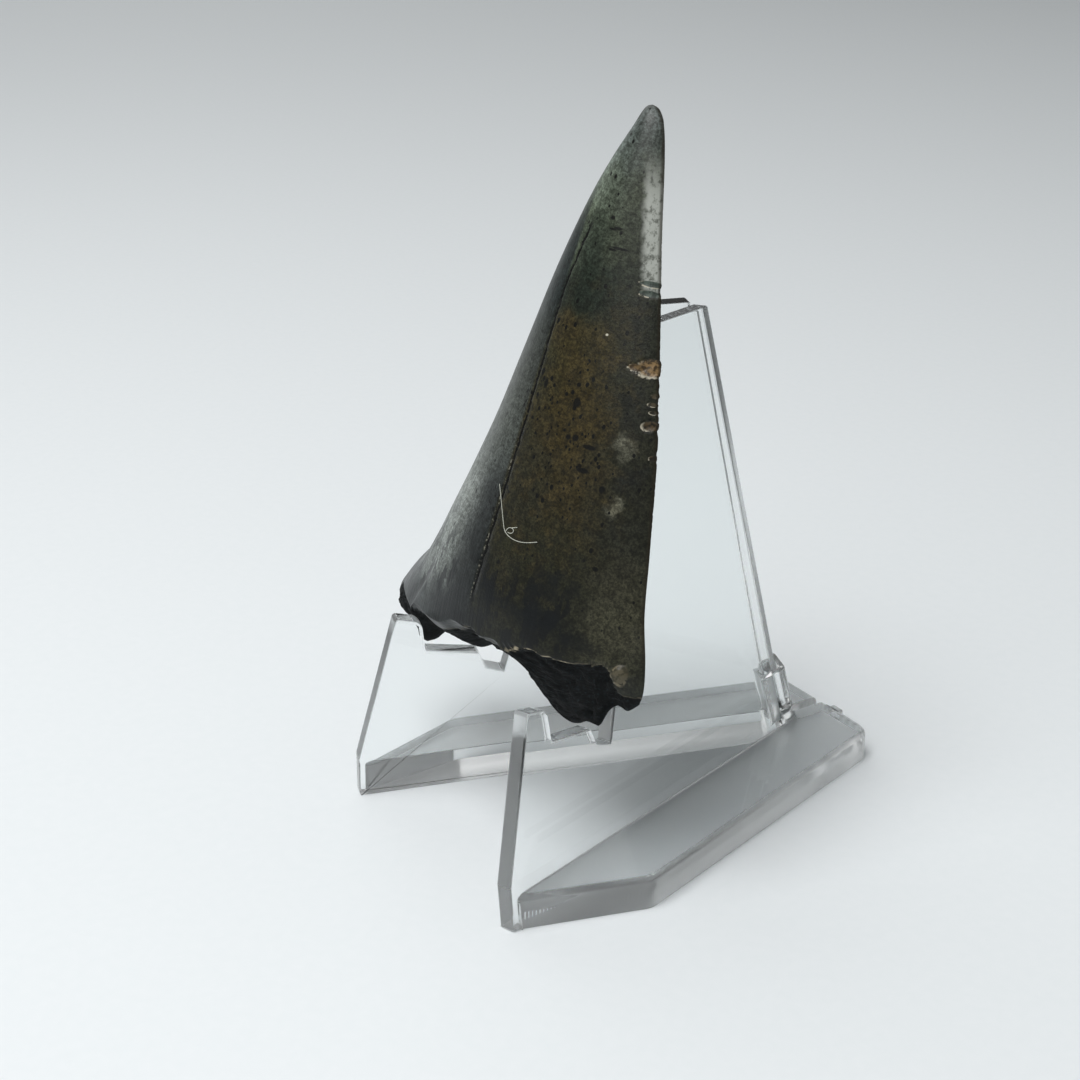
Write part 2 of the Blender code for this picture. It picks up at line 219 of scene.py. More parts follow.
# %% Curves of the tooth, in millimetres
TOOTH_LEAN = math.radians(12.4)
TOOTH_SEAT = HINGE_ON_FLOOR + Vector((0.0, -26.7, 13.15)) * MM
CROWN_HEIGHT = 49.6
EDGE_DEPTH = 1.3
BACK_BULGE = 0.7
LEFT_ROUNDNESS = 2.1
RIGHT_ROUNDNESS = 1.8
RIGHT_EDGE = [(4.0, 13.7), (5.3, 13.9), (7.5, 13.4), (11.0, 12.1), (16.0, 11.1), (24.0, 9.4),
              (32.0, 7.0), (40.0, 4.5), (45.0, 3.1), (47.4, 2.3), (48.5, 1.75), (49.2, 1.15), (49.5, 0.6),
              (49.6, -0.1)]
LEFT_EDGE = [(-1.0, -24.5), (0.5, -24.3), (2.0, -23.3), (4.0, -21.7), (6.5, -19.4), (9.0, -17.8),
             (11.0, -16.8), (20.0, -12.8), (28.0, -10.1), (36.0, -7.5), (42.0, -4.9), (45.5, -3.0), (48.2, -1.3),
             (49.1, -0.85), (49.5, -0.5), (49.6, -0.1)]
BULGE = [(0.0, 7.0), (8.0, 7.2), (16.0, 6.3), (26.0, 5.0), (36.0, 3.6), (44.0, 2.3), (48.2, 1.2),
         (49.2, 0.7), (49.5, 0.35), (49.6, 0.0)]
ROOT_OUTLINE = [(-1.0, -0.3), (-0.93, -1.1), (-0.8, -1.0), (-0.7, -0.8), (-0.58, -0.9), (-0.5, -1.8),
                (-0.42, 0.2), (-0.25, 0.4), (-0.1, 0.7), (0.0, 1.7), (0.2, 1.7), (0.33, 2.0),
                (0.42, 0.2), (0.5, -0.6), (0.6, -0.7), (0.66, -0.3), (0.7, 0.2), (0.76, 0.4), (0.79, 0.6),
                (0.82, 2.0), (0.87, 3.0), (0.94, 3.1), (1.0, 4.1)]
ROOT_RIDGE = [(-1.0, 1.3), (-0.7, 3.2), (-0.3, 3.0), (0.1, 2.4), (0.5, 1.8), (1.0, 1.3)]
ENAMEL_RIM = [(-24.5, 0.0), (-23.0, 1.0), (-21.0, 2.0), (-16.6, 2.6), (-12.9, 2.3), (-10.5, 1.7), (-7.3, 2.6), (-4.0, 4.0), (-1.5, 5.0),
              (0.0, 4.4), (1.0, 4.0), (4.7, 5.5), (6.2, 5.6), (8.2, 5.7), (9.9, 6.2), (11.4, 6.3), (11.9, 4.6),
              (12.9, 4.6), (14.0, 4.7)]
CHIPS = [(35.9, 0.5, 0.15), (29.9, 0.9, 0.2), (27.3, 0.8, 0.2), (25.6, 0.6, 0.2), (23.4, 0.5, 0.15)]
SCARS = [(5.2, 36.3, 0.75, 0.24, 0.08, "#343b36", "#4d564f"), (5.3, 35.55, 0.65, 0.26, 0.10, "#343b36", "#4d564f"),
         (7.2, 30.05, 0.85, 0.72, 0.28, "#3b2f1e", "#7d6646"), (6.35, 29.85, 0.50, 0.30, 0.12, "#3b2f1e", "#6b573b"),
         (8.05, 28.0, 0.24, 0.20, 0.09, "#26241c", "#453e30"), (8.15, 27.35, 0.30, 0.17, 0.10, "#26241c", "#453e30"),
         (8.35, 26.75, 0.22, 0.16, 0.09, "#26241c", "#453e30"), (8.5, 25.7, 0.46, 0.42, 0.18, "#1d1a14", "#453927"),
         (9.35, 23.3, 0.20, 0.22, 0.10, "#1d1a14", "#453927")]
CRACK = [(7.0, -1.8), (12.0, -1.65), (20.0, -1.5), (26.0, -1.6), (34.0, -1.8), (37.0, -1.4), (39.8, -0.85)]
FLAP = (12.15, 6.0, 0.55, 0.85)
ROOT_BAND = 9.0


def smooth_value(pairs, place):
    """A smooth curve through pairs of place and value, read at one place."""
    if place <= pairs[0][0]:
        return pairs[0][1]
    if place >= pairs[-1][0]:
        return pairs[-1][1]
    last = len(pairs) - 1
    number = max(i for i in range(last) if pairs[i][0] <= place)
    x0, y0 = pairs[number]
    x1, y1 = pairs[number + 1]
    before = pairs[max(number - 1, 0)]
    after = pairs[min(number + 2, last)]
    slope0 = (y1 - before[1]) / (x1 - before[0])
    slope1 = (after[1] - y0) / (after[0] - x0)
    span = x1 - x0
    t = (place - x0) / span
    rise = (2 * t ** 3 - 3 * t ** 2 + 1) * y0 + (3 * t ** 2 - 2 * t ** 3) * y1
    return rise + span * ((t ** 3 - 2 * t ** 2 + t) * slope0 + (t ** 3 - t ** 2) * slope1)


def step(value, low, high):
    """0 below low, 1 above high, and a soft step from one to the other."""
    t = min(1.0, max(0.0, (value - low) / (high - low)))
    return t * t * (3.0 - 2.0 * t)


def ripple(*place):
    """Noise between about -1 and 1 at a place in space."""
    return noise.noise(Vector(place))


print("tooth is", CROWN_HEIGHT, "mm from its seat to its tip")

# %% [markdown]
# ## Fine relief
# Close up, the enamel ends in a scalloped lip over the root, a hairline crack runs up the ridge, the
# right cutting edge is nicked and chipped, and the root is torn and porous. Bump alone would leave a
# smooth outline, so these are moved in the mesh itself, at a spacing of about a fifth of a millimetre.

# %% Relief of the crown and the root
def rim_height(w):
    """Height of the enamel's lower lip at a place across, with small scallops."""
    scallops = 0.22 * ripple(w * 0.9, 3.0, 0.0) + 0.14 * ripple(w * 2.6, 9.0, 0.0)
    return smooth_value(ENAMEL_RIM, w) + scallops * step(w, -14.0, -8.0)


def crack_place(h):
    """Place across of the hairline crack at a height."""
    return smooth_value(CRACK, h) + 0.10 * ripple(h * 1.3, 8.0, 1.0) + 0.07 * ripple(h * 4.0, 8.0, 3.0)


def edge_loss(h):
    """How far the right cutting edge is worn or chipped back at a height."""
    loss = 0.0
    for centre, half_length, depth in CHIPS:
        away = (h - centre) / half_length
        if abs(away) < 1.0:
            loss += depth * (1.0 - away * away) * (1.0 + 0.4 * ripple(h * 3.0, 2.0, 2.0))
    nicks = max(0.0, ripple(h * 1.7, 5.0, 5.0) - 0.15) * 0.2
    teeth = max(0.0, ripple(h * 4.0, 6.0, 5.0)) * 0.10
    return loss + (nicks + teeth) * step(h, 14.0, 18.0) * (1.0 - step(h, 45.0, 47.0))


def ellipse(w, h, centre_w, centre_h, half_w, half_h):
    """1 on the ellipse's edge and 0 at its centre, with an uneven outline."""
    wobble = 1.0 + 0.22 * ripple(w * 1.8, h * 1.8, centre_h)
    return math.hypot((w - centre_w) / half_w, (h - centre_h) / half_h) * wobble


def surface_height(across, share):
    return CROWN_HEIGHT * share + smooth_value(ROOT_OUTLINE, across) * (1.0 - share) ** 6


def tooth_point(across, share, front):
    """A point of one face as place across, depth and height, with how much of it is root."""
    h = surface_height(across, share)
    left_h = surface_height(-1.0, share)
    right_h = surface_height(1.0, share)
    left = smooth_value(LEFT_EDGE, left_h)
    right = smooth_value(RIGHT_EDGE, right_h)
    w = left + (right - left) * (across + 1.0) / 2.0
    if front:
        along_crack = step(h, 6.0, 8.0) * (1.0 - step(h, 39.5, 41.0))
        off = w - crack_place(h)
        if along_crack > 0.0 and abs(off) < 1.0:
            w += (off * abs(off) - off) * along_crack
            across = 2.0 * (w - left) / (right - left) - 1.0
    worn_edge = right - edge_loss(right_h)

    bulge = smooth_value(BULGE, h)
    if front:
        roundness = LEFT_ROUNDNESS if across < 0.0 else RIGHT_ROUNDNESS
        depth = EDGE_DEPTH + bulge * (1.0 - abs(across) ** roundness) ** 0.85
    else:
        depth = EDGE_DEPTH - BACK_BULGE * (1.0 - across * across) * min(1.0, math.sqrt(max(CROWN_HEIGHT - h, 0.0)))
    lower = smooth_value(ROOT_OUTLINE, across)
    above = h - lower
    rim = rim_height(w) if front else rim_height(w) - 1.2
    rounding = max(rim - lower, 3.0) if front else 2.5
    ridge = smooth_value(ROOT_RIDGE, across)
    if above < rounding:
        depth = ridge + (depth - ridge) * max(above / rounding, 0.0) ** (0.7 if front else 0.5)
    root = step(rim - h, -0.05, 0.25)
    return min(w, worn_edge), depth, h, root, right - w, w - left


print("rim at the middle of the tooth is", round(rim_height(0.0), 2), "mm up")

# %% [markdown]
# ## Building the two faces
# Blender's grid primitive gives an even sheet of squares. Its columns are crowded towards the two
# cutting edges and its rows towards the root and the tip, where the shape turns fastest. The two
# sheets are joined and their shared rim is merged, which closes the piece.

# %% The tooth's mesh
COLUMNS = 130
ROWS = 370
ROOT_ROWS = 110
TIP_CROWDING = 1.3
RELIEF_DEPTH = {"recess": 0.45, "lumps": 0.42, "tears": 0.30, "grit": 0.12}


def row_share(row):
    root_share = ROOT_BAND / CROWN_HEIGHT
    if row <= ROOT_ROWS:
        return root_share * row / ROOT_ROWS
    up = (row - ROOT_ROWS) / (ROWS - ROOT_ROWS)
    return root_share + (1.0 - root_share) * (1.0 - (1.0 - up) ** TIP_CROWDING)


def tooth_sheet(name, front):
    """One face of the tooth, from a grid primitive whose vertices are moved to the curves."""
    bpy.ops.object.select_all(action="DESELECT")
    bpy.ops.mesh.primitive_grid_add(x_subdivisions=COLUMNS, y_subdivisions=ROWS, size=2.0)
    sheet = bpy.context.object
    sheet.name = name
    for attribute, kind in (("tooth_mm", "FLOAT_VECTOR"), ("tooth_marks", "FLOAT_VECTOR"), ("crack_place", "FLOAT")):
        sheet.data.attributes.new(attribute, kind, "POINT")
    places, marks, cracks = (sheet.data.attributes[n] for n in ("tooth_mm", "tooth_marks", "crack_place"))
    for number, vertex in enumerate(sheet.data.vertices):
        column = round((vertex.co.x + 1.0) / 2.0 * COLUMNS)
        row = round((vertex.co.y + 1.0) / 2.0 * ROWS)
        across = math.sin(math.pi * (column / COLUMNS - 0.5))
        w, depth, h, root, from_right, from_left = tooth_point(across, row_share(row), front)
        inside = (1.0 - abs(across) ** 8)
        lower = smooth_value(ROOT_OUTLINE, across)
        inside *= min(1.0, (h - lower) / 0.5)
        lumps = ripple(w * 0.9, depth * 0.9, h * 0.9) + 0.5 * ripple(w * 2.1, depth * 2.1 + 7.0, h * 2.1)
        tears = abs(ripple(w * 1.6 + h * 0.5, depth * 1.5, h * 0.7 - w * 0.2 + 11.0))
        grit = ripple(w * 6.0, depth * 6.0, h * 6.0)
        move = RELIEF_DEPTH["lumps"] * lumps - RELIEF_DEPTH["tears"] * tears + RELIEF_DEPTH["grit"] * grit
        recess = RELIEF_DEPTH["recess"] * (0.25 + 0.75 * step(w, -9.0, -4.0))
        move = (move - recess) * root * inside
        if front:
            crack = step(h, 7.0, 9.0) * (1.0 - step(h, 38.5, 40.0))
            move -= 0.14 * crack * math.exp(-((w - crack_place(h)) / 0.10) ** 2)
            for glint_w, glint_h in ((7.6, 23.7), (8.0, 19.0)):
                away = ((w - glint_w) / 0.7) ** 2 + ((h - glint_h) / 0.9) ** 2
                move += 0.05 * math.exp(-away)
            for scar in SCARS:
                inside_scar = 1.0 - ellipse(w, h, *scar[:4]) ** 2
                if inside_scar > 0.0:
                    move -= scar[4] * min(1.0, inside_scar * 2.0) * (1.0 + 0.3 * ripple(w * 3.0, h * 3.0, 1.0))
            on_flap = 1.0 - ellipse(w, h, *FLAP)
            if on_flap > 0.0:
                move += 0.25 * min(1.0, on_flap * 4.0)
            move += 0.035 * ripple(w * 0.35, h * 0.12, 20.0) * (1.0 - root) * inside
        depth += move if front else -0.4 * move
        vertex.co = (w * MM, -max(depth, 0.3) * MM, h * MM)
        places.data[number].vector = (w, h, depth)
        marks.data[number].vector = (root, from_right, from_left)
        cracks.data[number].value = crack_place(h) if front else 100.0
    return sheet


inner_face = tooth_sheet("tooth_inner_face", True)
outer_face = tooth_sheet("tooth_outer_face", False)
select_only(inner_face)
outer_face.select_set(True)
bpy.ops.object.join()
tooth = bpy.context.object
tooth.name = "fossil_tooth"
bpy.ops.object.mode_set(mode="EDIT")
bpy.ops.mesh.select_all(action="SELECT")
bpy.ops.mesh.remove_doubles(threshold=0.004 * MM)
bpy.ops.mesh.normals_make_consistent(inside=False)
bpy.ops.object.mode_set(mode="OBJECT")
tooth.data.transform(Matrix.Translation(TOOTH_SEAT) @ Matrix.Rotation(-TOOTH_LEAN, 4, "X"))
bpy.ops.object.shade_smooth_by_angle(angle=math.radians(55.0))
print("tooth has", len(tooth.data.polygons), "faces, box", [round(v * 1000, 1) for v in tooth.dimensions])

# %% [markdown]
# ## The tooth's finish
# Fossil enamel is dense, dark and polished like a pebble. Minerals stained it: olive and ochre in the
# middle, blue-green above, blue-grey at the tip, almost black at the base. Some light is painted into
# the colour too: a highlight in the pale tip, sheen and shade on the band left of the crack, two glints
# and the reflection on a worn facet by the right edge. The colour therefore runs on the tooth's own
# millimetres, stored on the mesh when it was shaped, so that each stain keeps its place and its real
# size from every side.

# %% Polished fossil enamel
def fossil_enamel():
    """Fossil enamel, ground by sand and time: a low gloss with fine lengthwise growth lines."""
    made, tree, shader = new_material("polished_fossil_enamel")
    places = add(tree, "ShaderNodeAttribute", {"attribute_name": "tooth_mm"})
    marks = add(tree, "ShaderNodeAttribute", {"attribute_name": "tooth_marks"})
    mm = add(tree, "ShaderNodeSeparateXYZ", links={"Vector": places.outputs["Vector"]})
    w, h = mm.outputs["X"], mm.outputs["Y"]
    split = add(tree, "ShaderNodeSeparateXYZ", links={"Vector": marks.outputs["Vector"]})
    root, from_right, from_left = split.outputs["X"], split.outputs["Y"], split.outputs["Z"]
    crack_attribute = add(tree, "ShaderNodeAttribute", {"attribute_name": "crack_place"}).outputs["Fac"]

    def cloud(size_mm, detail=3.0, stretch=(1.0, 1.0, 1.0), shift=0.0, roughness=0.5):
        """Noise whose blotches are about size_mm wide, stretched along chosen axes."""
        placed = add(tree, "ShaderNodeMapping", {"vector_type": "POINT"},
                     {"Scale": [s / size_mm for s in stretch], "Location": (shift, shift, shift)},
                     {"Vector": places.outputs["Vector"]})
        made_noise = add(tree, "ShaderNodeTexNoise", values={"Scale": 1.0, "Detail": detail, "Roughness": roughness},
                         links={"Vector": placed.outputs["Vector"]})
        return made_noise.outputs["Fac"]

    def patch(centre_w, centre_h, half_w, half_h, soft=0.6, wander=2.2):
        """1 inside an ellipse of the tooth's front, fading to 0, with a wandering outline."""
        placed = add(tree, "ShaderNodeMapping", {"vector_type": "POINT"},
                     {"Scale": (1.0 / half_w, 1.0 / half_h, 0.0),
                      "Location": (-centre_w / half_w, -centre_h / half_h, 0.0)},
                     {"Vector": wandering if wander else places.outputs["Vector"]})
        reach = add(tree, "ShaderNodeVectorMath", {"operation": "LENGTH"}, links={0: placed.outputs["Vector"]})
        return between(tree, reach.outputs["Value"], 1.0 + soft, 1.0 - soft)

    push = add(tree, "ShaderNodeTexNoise", values={"Scale": 0.45, "Detail": 4.0},
               links={"Vector": places.outputs["Vector"]})
    pull = add(tree, "ShaderNodeVectorMath", {"operation": "MULTIPLY_ADD"},
               {1: (3.6, 3.6, 0.0), 2: (-1.8, -1.8, 0.0)}, {0: push.outputs["Color"]})
    wandering = add(tree, "ShaderNodeVectorMath", {"operation": "ADD"},
                    links={0: places.outputs["Vector"], 1: pull.outputs["Vector"]}).outputs["Vector"]
    wandered = add(tree, "ShaderNodeSeparateXYZ", links={"Vector": wandering})

    height_share = math_node(tree, "DIVIDE", wandered.outputs["Y"], CROWN_HEIGHT)
    # Colour by height: mineral stain colours up the crown; the pale blue-grey towards the tip is partly the enamel's
    # tone and partly a painted highlight.
    stains_and_tip_highlight = add(tree, "ShaderNodeValToRGB", links={"Fac": height_share})
    ramp = stains_and_tip_highlight.color_ramp
    ramp.elements[0].position, ramp.elements[0].color = 0.0, linear("#1a1c14")
    ramp.elements[1].position, ramp.elements[1].color = 1.0, linear("#cad7d8")
    for share, shade in ((0.16, "#27281c"), (0.28, "#2d2d1e"), (0.42, "#383524"), (0.60, "#383823"),
                         (0.68, "#2e362c"), (0.80, "#69745f"), (0.88, "#8a9788"), (0.94, "#a2b1ad"),
                         (0.97, "#b4c3c3")):
        stop = ramp.elements.new(share)
        stop.color = linear(shade)
    colour = stains_and_tip_highlight.outputs["Color"]

    right_side = between(tree, from_right, 6.5, 1.0)
    colour = mix_colour(tree, math_node(tree, "MULTIPLY", right_side, 0.8), colour, "#2a2c22")
    for zone, shade, strength in (
            (patch(1.9, 29.8, 2.6, 3.4), "#453c20", 0.75), (patch(-0.2, 31.6, 1.3, 1.6), "#4a4026", 0.6),
            (patch(3.4, 24.6, 2.6, 3.8), "#453a1c", 0.8), (patch(5.0, 18.6, 1.9, 2.6), "#40371d", 0.75),
            (patch(1.0, 35.2, 2.6, 2.6), "#212b23", 0.8), (patch(-0.4, 38.8, 1.2, 2.4), "#333d35", 0.6),
            (patch(2.6, 43.4, 1.2, 1.8), "#545a48", 0.5), (patch(8.7, 21.2, 1.0, 1.1), "#1b1f1f", 0.75),
            (patch(7.2, 26.6, 0.9, 1.6), "#22251f", 0.6), (patch(9.3, 16.0, 1.6, 3.0), "#2e2f26", 0.6),
            (patch(4.4, 14.0, 3.6, 2.2), "#33321f", 0.6), (patch(11.0, 10.2, 2.4, 4.4), "#4b4a3a", 0.85),
            (patch(0.8, 9.0, 2.2, 2.0), "#2c2a1a", 0.6), (patch(9.6, 13.0, 1.5, 2.0), "#3a382b", 0.5)):
        colour = mix_colour(tree, math_node(tree, "MULTIPLY", zone, strength), colour, shade)
    # Painted highlights: two soft pale spots where the crown shows glints; the mesh has small bumps at the same
    # places.
    for zone in (patch(7.5, 23.7, 0.55, 0.75), patch(7.9, 19.0, 0.55, 0.65)):
        colour = mix_colour(tree, math_node(tree, "MULTIPLY", zone, 0.7), colour, "#7d7c6c")

    olive = patch(3.0, 23.0, 5.0, 11.0)
    for size, low, high, shade, strength in ((1.7, 0.46, 0.62, "#54482a", 0.45), (0.9, 0.48, 0.64, "#25261c", 0.35)):
        blotch = between(tree, cloud(size, 4.0, shift=12.0 + size, roughness=0.6), low, high)
        share = math_node(tree, "MULTIPLY", math_node(tree, "MULTIPLY", blotch, olive), strength)
        colour = mix_colour(tree, share, colour, shade)

    # The grey-blue band left of the crack, with painted light: the ramp by height lightens it between about a sixth
    # and a third of the way up as painted sheen, and the dark mixes below darken it as painted shade near the left
    # edge and beside the crack, where the rounded face turns from the light. The lengthwise growth lines are the
    # enamel's own.
    band_share = math_node(tree, "DIVIDE", from_left, math_node(
        tree, "ADD", from_left, math_node(tree, "MAXIMUM", math_node(tree, "SUBTRACT", -1.75, w), 0.0)))
    band_sheen_and_shade_ramp = add(tree, "ShaderNodeValToRGB", links={"Fac": height_share})
    for share, shade in ((0.10, "#444c4b"), (0.15, "#979f9a"), (0.30, "#aab1ac"), (0.38, "#6b716b"),
                         (0.48, "#585d56"), (0.58, "#474b45"), (0.68, "#283230"), (0.80, "#333c39"),
                         (0.90, "#555f5b")):
        stop = band_sheen_and_shade_ramp.color_ramp.elements.new(share)
        stop.color = linear(shade)
    band_sheen_and_shade_ramp.color_ramp.elements[0].color = linear("#1d2425")
    band_sheen_and_shade_ramp.color_ramp.elements[-1].color = linear("#77827e")
    band = band_sheen_and_shade_ramp.outputs["Color"]
    painted_shade_near_crack = math_node(tree, "MULTIPLY", between(tree, band_share, 0.50, 0.88), between(tree, h, 22.0, 16.0))
    for shade_zone, strength in ((painted_shade_near_crack, 0.92), (between(tree, band_share, 0.62, 1.0), 0.35),
                                 (between(tree, band_share, 0.14, 0.01), 0.65)):
        band = mix_colour(tree, math_node(tree, "MULTIPLY", shade_zone, strength), band, "#161c1d")
    growth = between(tree, cloud(0.32, 3.0, (1.0, 0.045, 1.0), 2.0), 0.42, 0.62)
    growth_zone = math_node(tree, "MULTIPLY", growth, between(tree, h, 24.0, 8.0))
    band = mix_colour(tree, math_node(tree, "MULTIPLY", growth_zone, 0.35), band, "#2a3030")
    # The band, painted sheen and shade included, replaces the crown's colour left of the crack and fades out towards
    # the tip.
    beside_crack = between(tree, w, -1.6, -2.2)
    top_fade = between(tree, h, 46.0, 38.0)
    colour = mix_colour(tree, math_node(tree, "MULTIPLY", beside_crack, top_fade), colour, band)

    for scale, strength in ((0.55, 0.34), (0.22, 0.40), (0.10, 0.30)):
        grains = between(tree, cloud(scale, 2.0, shift=5.0 + scale), 0.40, 0.62)
        darker = mix_colour(tree, 1.0, colour, "#85867d", "MULTIPLY")
        colour = mix_colour(tree, math_node(tree, "MULTIPLY", grains, strength * 1.6), colour, darker)

    low = between(tree, h, 15.5, 8.5)
    left_of_flap = between(tree, w, 10.0, 6.5)
    smudge = between(tree, cloud(1.5, 5.0, (1.0, 0.45, 1.0), 8.0, 0.62), 0.49, 0.45)
    smudge = math_node(tree, "MULTIPLY", math_node(tree, "MULTIPLY", smudge, low), left_of_flap)
    colour = mix_colour(tree, math_node(tree, "MULTIPLY", smudge, 0.92), colour, "#080b0c")
    for zone, strength in ((patch(4.2, 8.4, 2.8, 0.9), 0.8), (patch(-0.4, 8.4, 1.2, 1.3), 0.7),
                           (patch(5.2, 11.2, 1.0, 1.1), 0.7), (patch(8.6, 7.6, 1.4, 0.8), 0.6),
                           (patch(-6.0, 5.6, 3.6, 1.5), 0.8), (patch(-3.8, 7.2, 1.6, 1.8), 0.7), (patch(-15.0, 3.0, 7.0, 1.1), 0.8)):
        colour = mix_colour(tree, math_node(tree, "MULTIPLY", zone, strength), colour, "#0b0f11")

    left_foot = patch(-14.0, 2.0, 8.5, 1.5, 0.35, 0.0)
    colour = mix_colour(tree, math_node(tree, "MULTIPLY", left_foot, 0.8), colour, "#101618")

    crack_line = math_node(tree, "SUBTRACT", w, crack_attribute)
    crack_span = math_node(tree, "MULTIPLY", between(tree, h, 6.0, 7.5), between(tree, h, 40.5, 39.0))
    broken = between(tree, cloud(0.5, 2.0, (0.0, 1.0, 0.0), 3.0), 0.30, 0.42)
    crack_width = math_node(tree, "ADD", 0.03, math_node(tree, "MULTIPLY", 0.22, cloud(0.35, 3.0, (0.0, 1.0, 0.0), 9.0)))
    crack_near = math_node(tree, "LESS_THAN", math_node(tree, "ABSOLUTE", crack_line), crack_width)
    crack = math_node(tree, "MULTIPLY", math_node(tree, "MULTIPLY", crack_near, crack_span), broken)
    colour = mix_colour(tree, math_node(tree, "MULTIPLY", crack, 0.97), colour, "#030404")
    fleck_line = between(tree, math_node(tree, "ABSOLUTE", math_node(tree, "ADD", crack_line, 0.22)), 0.14, 0.02)
    fleck_gaps = between(tree, cloud(0.32, 3.0, (1.0, 1.0, 0.0), 15.0), 0.53, 0.62)
    flecks = math_node(tree, "MULTIPLY", math_node(tree, "MULTIPLY", fleck_line, fleck_gaps),
                       math_node(tree, "MULTIPLY", between(tree, h, 6.5, 9.0), between(tree, h, 23.0, 20.0)))
    colour = mix_colour(tree, math_node(tree, "MULTIPLY", flecks, 0.4), colour, "#a3a192")

    spot_zone = math_node(tree, "MULTIPLY", patch(3.2, 23.6, 4.2, 6.0, 0.3), 1.0)
    for size, threshold in ((0.42, 0.32), (0.75, 0.29)):
        bits = add(tree, "ShaderNodeMapping", {"vector_type": "POINT"},
                   {"Scale": (1.3 / size, 1.0 / size, 1.3 / size), "Rotation": (0.0, 0.0, 0.5)},
                   {"Vector": places.outputs["Vector"]})
        spots = add(tree, "ShaderNodeTexVoronoi", {"feature": "F1"}, {"Scale": 1.0, "Randomness": 1.0},
                    {"Vector": bits.outputs["Vector"]})
        drawn = math_node(tree, "GREATER_THAN", add(tree, "ShaderNodeSeparateColor", links={
            "Color": spots.outputs["Color"]}).outputs["Red"], math_node(
                tree, "SUBTRACT", 0.95, math_node(tree, "MULTIPLY", 0.14, spot_zone)))
        inside = math_node(tree, "LESS_THAN", spots.outputs["Distance"], threshold)
        speckle = math_node(tree, "MULTIPLY", math_node(tree, "MULTIPLY", inside, drawn), between(tree, h, 7.0, 10.0))
        colour = mix_colour(tree, speckle, colour, "#070806")
    for spot in ((3.2, 26.0, 0.32, 0.42), (3.15, 25.5, 0.16, 0.16), (4.0, 23.3, 0.27, 0.27), (3.4, 23.2, 0.19, 0.21),
                 (5.25, 22.9, 0.54, 0.19), (5.3, 21.0, 0.48, 0.21), (5.0, 21.3, 0.16, 0.16), (2.1, 26.4, 0.16, 0.16),
                 (2.9, 27.4, 0.19, 0.18), (-1.1, 27.4, 0.22, 0.35), (-0.3, 26.6, 0.24, 0.38), (-0.7, 26.9, 0.16, 0.22),
                 (-0.9, 25.5, 0.16, 0.19), (7.1, 20.0, 0.22, 0.29), (8.3, 13.7, 0.22, 0.19), (1.1, 40.6, 0.18, 0.16),
                 (0.1, 43.7, 0.14, 0.19), (-0.6, 43.8, 0.13, 0.16), (2.4, 38.4, 0.67, 0.11), (1.9, 38.2, 0.32, 0.10),
                 (1.4, 39.75, 0.32, 0.10), (1.8, 39.9, 0.35, 0.11), (2.1, 39.6, 0.11, 0.19)):
        colour = mix_colour(tree, math_node(tree, "MULTIPLY", patch(*spot, 0.25, 0.0), 0.95), colour, "#050605")
    colour = mix_colour(tree, patch(3.7, 31.75, 0.10, 0.09, 0.4, 0.0), colour, "#b9b5a4")

    # A worn facet along the right cutting edge, painted light grey: partly its own worn tone and partly a painted
    # reflection of the light.
    strip_zone = math_node(tree, "MULTIPLY", between(tree, h, 35.2, 36.2), between(tree, h, 46.8, 42.0))
    uneven = math_node(tree, "MULTIPLY", math_node(tree, "SUBTRACT", cloud(0.8, 3.0, shift=19.0), 0.5), 0.35)
    strip = math_node(tree, "MULTIPLY", strip_zone, between(tree, math_node(tree, "ADD", from_right, uneven), 1.25, 0.70))
    strip_mottle = between(tree, cloud(0.5, 4.0, (1.0, 0.7, 1.0), 17.0, 0.65), 0.34, 0.52)
    strip_wear_and_reflection = mix_colour(tree, strip_mottle, "#5f625b", "#a3a69f")
    colour = mix_colour(tree, math_node(tree, "MULTIPLY", strip, 0.92), colour, strip_wear_and_reflection)
    rim_breaks = between(tree, cloud(0.40, 3.0, shift=25.0), 0.42, 0.54)
    for scar_w, scar_h, half_w, half_h, scar_depth, dark, light in SCARS:
        bright_rim = patch(scar_w - 0.08 * half_w, scar_h - 0.20 * half_h, half_w, half_h, 0.10, 0.0)
        bright_rim = math_node(tree, "MULTIPLY", bright_rim, rim_breaks)
        colour = mix_colour(tree, math_node(tree, "MULTIPLY", bright_rim, 0.85), colour, "#b5ae9b")
    for scar_w, scar_h, half_w, half_h, scar_depth, dark, light in SCARS:
        hollow = patch(scar_w, scar_h, half_w * 0.94, half_h * 0.94, 0.16, 0.0)
        flesh = mix_colour(tree, between(tree, cloud(0.35, 3.0, shift=scar_h), 0.4, 0.6), dark, light)
        colour = mix_colour(tree, hollow, colour, flesh)
    edge_line = math_node(tree, "MULTIPLY", between(tree, from_right, 0.22, 0.06), between(tree, h, 6.0, 9.0))
    colour = mix_colour(tree, math_node(tree, "MULTIPLY", edge_line, 0.7), colour, "#211c13")

